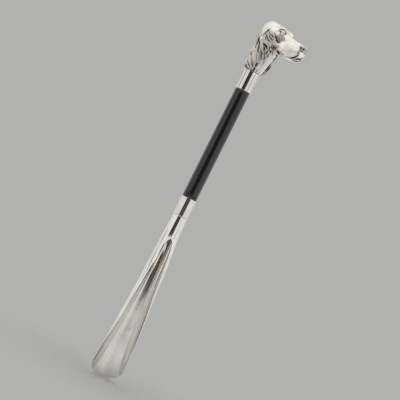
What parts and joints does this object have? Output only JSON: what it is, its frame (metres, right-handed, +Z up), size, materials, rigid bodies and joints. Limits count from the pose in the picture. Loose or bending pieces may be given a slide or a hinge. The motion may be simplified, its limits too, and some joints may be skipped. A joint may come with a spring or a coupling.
{
  "type": "long shoehorn",
  "caption": "Long-handled shoehorn with a plated scoop blade, a round black lacquered shaft between plated ferrules and a cast hound's-head handle.",
  "frame": {"origin": "on the shaft's axis, halfway along the lacquered shaft, where the hand holds it", "axes": "+Z up along the shaft, from the blade to the head; -Y the way the blade's hollow side faces; the dog's nose points 38 degrees round from -Y towards +X"},
  "size_m": [0.064, 0.0677, 0.5084],
  "materials": {
    "blade_plate": "bright nickel plate over formed steel sheet",
    "ferrule_plate": "bright nickel plate over steel tube",
    "head_silver": "polished silver plate, darkened in the recesses of the coat",
    "shaft_lacquer": "black gloss lacquer over beech",
    "insert_brass": "machined",
    "bush_brass": "machined",
    "stud_steel": "zinc plated M8 threaded rod",
    "washer_fibre": "black vulcanised fibre"
  },
  "bodies": {
    "handle": {"shaft": "shaft_lacquer", "upper_ferrule": "ferrule_plate", "lower_ferrule": "ferrule_plate", "upper_insert": "insert_brass", "lower_insert": "insert_brass", "upper_stud": "stud_steel", "lower_stud": "stud_steel"},
    "upper_washer_body": {"upper_washer": "washer_fibre"},
    "head": {"head_casting": "head_silver", "head_bush": "bush_brass"},
    "lower_washer_body": {"lower_washer": "washer_fibre"},
    "blade": {"blade": "blade_plate", "blade_plug": "bush_brass"}
  },
  "joints": [
    {"name": "head_travel", "type": "slide", "parent": "handle", "child": "upper_washer_body", "axis": [0, 0, 1], "range_m": [0, 0.015]},
    {"name": "head_unscrew", "type": "hinge", "parent": "upper_washer_body", "child": "head", "pos_m": [0, 0, 0.105], "axis": [0, 0, 1], "range_deg": [0, 4321]},
    {"name": "blade_travel", "type": "slide", "parent": "handle", "child": "lower_washer_body", "axis": [0, 0, -1], "range_m": [0, 0.015]},
    {"name": "blade_unscrew", "type": "hinge", "parent": "lower_washer_body", "child": "blade", "pos_m": [0, 0, -0.104], "axis": [0, 0, -1], "range_deg": [0, 4321]}
  ],
  "couplings": [
    {"joint": "head_unscrew", "follows": "head_travel", "rad_per_m": 5026.5},
    {"joint": "blade_unscrew", "follows": "blade_travel", "rad_per_m": 5026.5}
  ]
}
